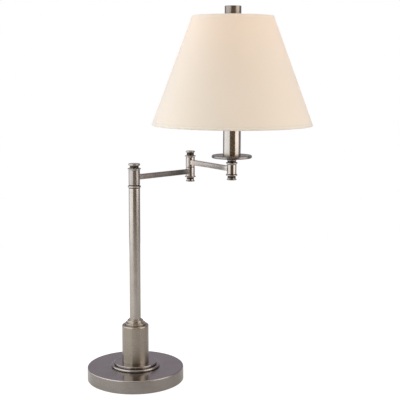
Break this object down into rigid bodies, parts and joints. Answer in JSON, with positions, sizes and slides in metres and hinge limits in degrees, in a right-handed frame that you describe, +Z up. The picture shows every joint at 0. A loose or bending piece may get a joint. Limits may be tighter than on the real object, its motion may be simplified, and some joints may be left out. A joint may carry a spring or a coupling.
{
  "type": "swing-arm table lamp",
  "caption": "Table lamp with a heavy round base, a slim pole, folding square arms, a candle holder on a dish and a cream paper cone shade.",
  "frame": {"origin": "centre of the base underside, on the pole axis", "axes": "+Z up along the pole; +X towards the side where the arms and shade hang; +Y towards the back, where the cord inlet is"},
  "size_m": [0.4325, 0.3047, 0.7271],
  "materials": {
    "antique nickel": "antique nickel plate, brushed, satin",
    "steel": "zinc plated steel, plain",
    "brass": "bright brass, plain",
    "harp nickel": "nickel plated, satin",
    "iron": "cast, matt black",
    "felt": "dark green felt",
    "black plastic": "matt black",
    "lead": "flexible vinyl insulation",
    "card": "fibre card insulator",
    "bulb glass": "frosted, soft white",
    "shade paper": "natural paper, matt, cream"
  },
  "bodies": {
    "stand": {"base_felt": "felt", "base_shell": "antique nickel", "base_weight": "iron", "cord_bushing": "black plastic", "base_lead": "lead", "pole_lead": "lead", "base_washer": "steel", "base_nut": "steel", "foot_ring": "antique nickel", "foot_disc": "antique nickel", "base_sleeve": "antique nickel", "sleeve_cap": "antique nickel", "pole_tube": "antique nickel", "pole_ring": "antique nickel", "tie_rod": "steel", "head_bush": "brass", "head_washer": "black plastic", "head_nut": "antique nickel", "head_button": "antique nickel"},
    "arm_1": {"head_knuckle": "antique nickel", "arm_1_bar": "antique nickel", "arm_1_lead": "lead", "elbow_lower_knuckle": "antique nickel", "elbow_spindle": "steel", "elbow_washer": "brass", "elbow_top_nut": "antique nickel", "elbow_top_button": "antique nickel", "elbow_lower_nut": "antique nickel", "elbow_lower_button": "antique nickel"},
    "arm_2": {"elbow_upper_knuckle": "antique nickel", "arm_2_bar": "antique nickel", "arm_2_lead": "lead", "end_knuckle": "antique nickel", "end_pipe": "steel", "end_lower_nut": "antique nickel", "end_lower_button": "antique nickel", "dish_neck": "antique nickel", "drip_dish": "antique nickel", "candle_cup": "antique nickel", "candle_tube": "antique nickel", "candle_cap": "antique nickel", "candle_lead": "lead", "harp_saddle": "harp nickel", "harp_wire": "harp nickel", "socket_cap": "brass", "socket_shell": "brass", "socket_liner": "card", "socket_core": "black plastic", "screw_shell": "brass", "bulb_base": "steel", "bulb_glass": "bulb glass"},
    "switch": {"switch_knob": "black plastic"},
    "ferrule_left": {"harp_ferrule_left": "harp nickel"},
    "ferrule_right": {"harp_ferrule_right": "harp nickel"},
    "shade": {"harp_stud": "harp nickel", "shade_spider": "harp nickel", "shade_top_ring": "steel", "shade_bottom_ring": "steel", "shade_paper": "shade paper", "shade_finial": "antique nickel"}
  },
  "joints": [
    {"name": "head_swivel", "type": "hinge", "parent": "stand", "child": "arm_1", "pos_m": [0, 0, 0.405], "axis": [0, 0, 1], "range_deg": [-170, 170]},
    {"name": "elbow_swivel", "type": "hinge", "parent": "arm_1", "child": "arm_2", "pos_m": [0.11406, 0.09742, 0.4123], "axis": [0, 0, 1], "range_deg": [-62, 267]},
    {"name": "switch_turn", "type": "hinge", "parent": "arm_2", "child": "switch", "pos_m": [0.18517, -0.03465, 0.541], "axis": [-0.8805, -0.4741, 0], "continuous": true},
    {"name": "ferrule_left_slide", "type": "slide", "parent": "arm_2", "child": "ferrule_left", "axis": [0, 0, 1], "range_m": [0, 0.008]},
    {"name": "ferrule_right_slide", "type": "slide", "parent": "arm_2", "child": "ferrule_right", "axis": [0, 0, 1], "range_m": [0, 0.008]},
    {"name": "shade_turn", "type": "hinge", "parent": "arm_2", "child": "shade", "pos_m": [0.18517, -0.03465, 0.697], "axis": [0, 0, 1], "continuous": true}
  ]
}
